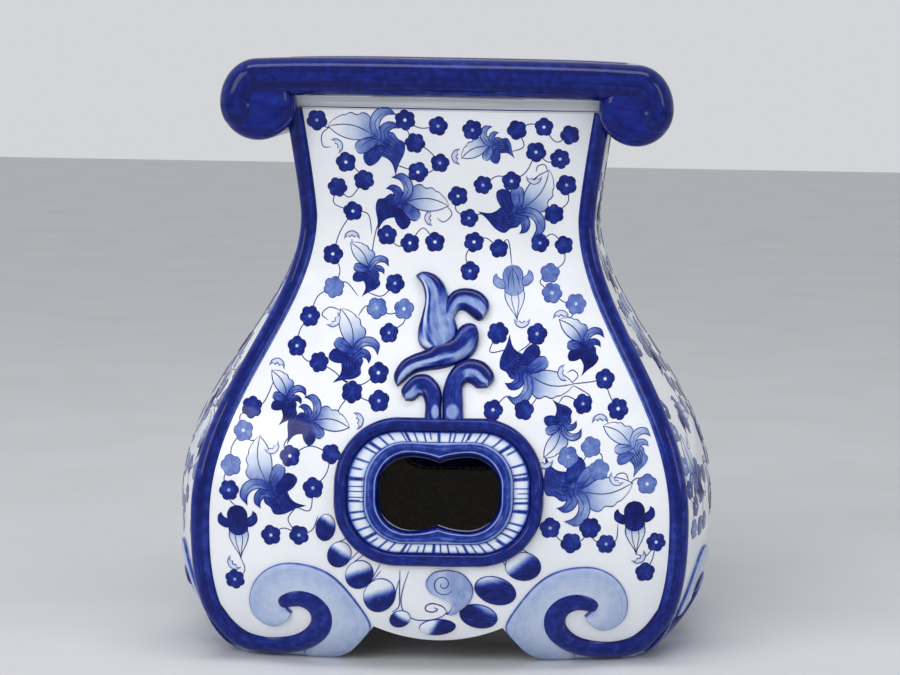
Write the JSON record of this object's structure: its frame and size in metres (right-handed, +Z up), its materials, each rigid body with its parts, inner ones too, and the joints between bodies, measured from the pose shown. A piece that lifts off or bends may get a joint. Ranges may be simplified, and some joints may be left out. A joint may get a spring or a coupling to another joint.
{
  "type": "garden stool",
  "caption": "Waisted square garden stool of glazed ceramic with a scroll-ended crowned seat, framed hand holes front and back, and scroll bracket feet.",
  "frame": {"origin": "centre of the footprint on the ground", "axes": "+Z up, -Y towards the front hand hole, X along the seat's longer side"},
  "size_m": [0.4232, 0.3746, 0.457],
  "materials": {
    "white_glaze": "glossy clear glaze over white slip with painted sprays",
    "cobalt_glaze": "glossy glaze over brushed cobalt",
    "pale_blue_glaze": "glossy glaze over a thin cobalt wash",
    "shaded_blue_glaze": "glossy glaze over cobalt shaded from pale to dark"
  },
  "bodies": {
    "root": {"back_comma": "pale_blue_glaze", "back_crest_leaf": "shaded_blue_glaze", "back_crest_left_stem": "cobalt_glaze", "back_crest_petal": "cobalt_glaze", "back_crest_right_stem": "cobalt_glaze", "back_face_left_cloud": "pale_blue_glaze", "back_face_left_curl": "cobalt_glaze", "back_face_right_cloud": "pale_blue_glaze", "back_face_right_curl": "cobalt_glaze", "back_frame_bead": "cobalt_glaze", "back_frame_flute": "pale_blue_glaze", "back_hole_lip": "cobalt_glaze", "back_left_rib": "cobalt_glaze", "back_panel": "white_glaze", "back_petals": "shaded_blue_glaze", "back_right_rib": "cobalt_glaze", "back_roll": "cobalt_glaze", "front_comma": "pale_blue_glaze", "front_crest_leaf": "shaded_blue_glaze", "front_crest_left_stem": "cobalt_glaze", "front_crest_petal": "cobalt_glaze", "front_crest_right_stem": "cobalt_glaze", "front_face_left_cloud": "pale_blue_glaze", "front_face_left_curl": "cobalt_glaze", "front_face_right_cloud": "pale_blue_glaze", "front_face_right_curl": "cobalt_glaze", "front_frame_bead": "cobalt_glaze", "front_frame_flute": "pale_blue_glaze", "front_hole_lip": "cobalt_glaze", "front_left_rib": "cobalt_glaze", "front_panel": "white_glaze", "front_petals": "shaded_blue_glaze", "front_right_rib": "cobalt_glaze", "front_roll": "cobalt_glaze", "left_face_left_cloud": "pale_blue_glaze", "left_face_left_curl": "cobalt_glaze", "left_face_right_cloud": "pale_blue_glaze", "left_face_right_curl": "cobalt_glaze", "left_panel": "white_glaze", "left_scroll": "cobalt_glaze", "neck_collar": "white_glaze", "right_face_left_cloud": "pale_blue_glaze", "right_face_left_curl": "cobalt_glaze", "right_face_right_cloud": "pale_blue_glaze", "right_face_right_curl": "cobalt_glaze", "right_panel": "white_glaze", "right_scroll": "cobalt_glaze", "seat_slab": "white_glaze"}
  },
  "joints": []
}
